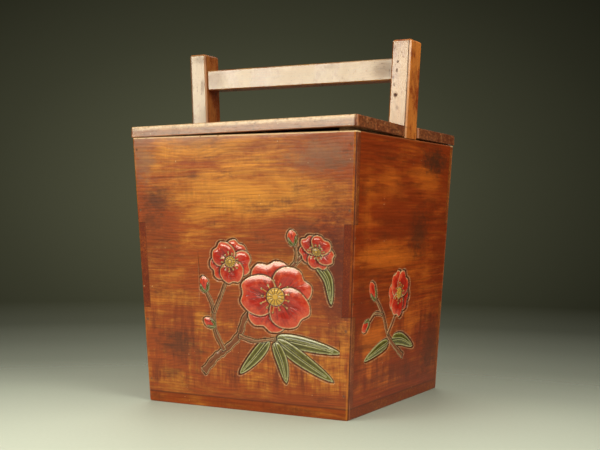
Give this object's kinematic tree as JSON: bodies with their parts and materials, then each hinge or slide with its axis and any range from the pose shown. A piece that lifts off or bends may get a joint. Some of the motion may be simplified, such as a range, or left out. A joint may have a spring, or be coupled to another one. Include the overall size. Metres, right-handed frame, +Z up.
{
  "type": "tea charcoal box",
  "caption": "Tapered square wooden charcoal box for tea, like a well bucket, with a fixed carrying handle and a split lid that lifts out past it.",
  "frame": {"origin": "middle of the underside of the base board, on the surface that the box stands on", "axes": "+X to the right along the crossbar, +Y to the back, +Z up"},
  "size_m": [0.2538, 0.244, 0.352],
  "materials": {
    "lacquered_board": "clear amber lacquer over long grained softwood, worn and stained",
    "lacquered_handle": "clear amber lacquer, rubbed at the arrises",
    "lacquered_lid": "clear amber lacquer, grain runs left to right",
    "bare_cleat": "bare planed softwood",
    "peg_wood": "hardwood pegs, end grain darkened by lacquer"
  },
  "bodies": {
    "box": {"front_board": "lacquered_board", "back_board": "lacquered_board", "left_board": "lacquered_board", "right_board": "lacquered_board", "base_board": "lacquered_board", "left_post": "lacquered_handle", "right_post": "lacquered_handle", "crossbar": "lacquered_handle", "front_left_corner_pegs": "peg_wood", "front_right_corner_pegs": "peg_wood", "back_left_corner_pegs": "peg_wood", "back_right_corner_pegs": "peg_wood", "base_pegs": "peg_wood", "left_leg_pegs": "peg_wood", "right_leg_pegs": "peg_wood"},
    "front_half": {"front_lid": "lacquered_lid", "front_lid_left_cleat": "bare_cleat", "front_lid_right_cleat": "bare_cleat", "front_cleat_pegs": "peg_wood"},
    "back_half": {"back_lid": "lacquered_lid", "back_lid_left_cleat": "bare_cleat", "back_lid_right_cleat": "bare_cleat", "back_cleat_pegs": "peg_wood"}
  },
  "joints": [
    {"name": "front_half_lift", "type": "slide", "parent": "box", "child": "front_half", "axis": [0, -0.342, 0.9397], "range_m": [0, 0.12]},
    {"name": "back_half_lift", "type": "slide", "parent": "box", "child": "back_half", "axis": [0, 0.342, 0.9397], "range_m": [0, 0.12]}
  ]
}
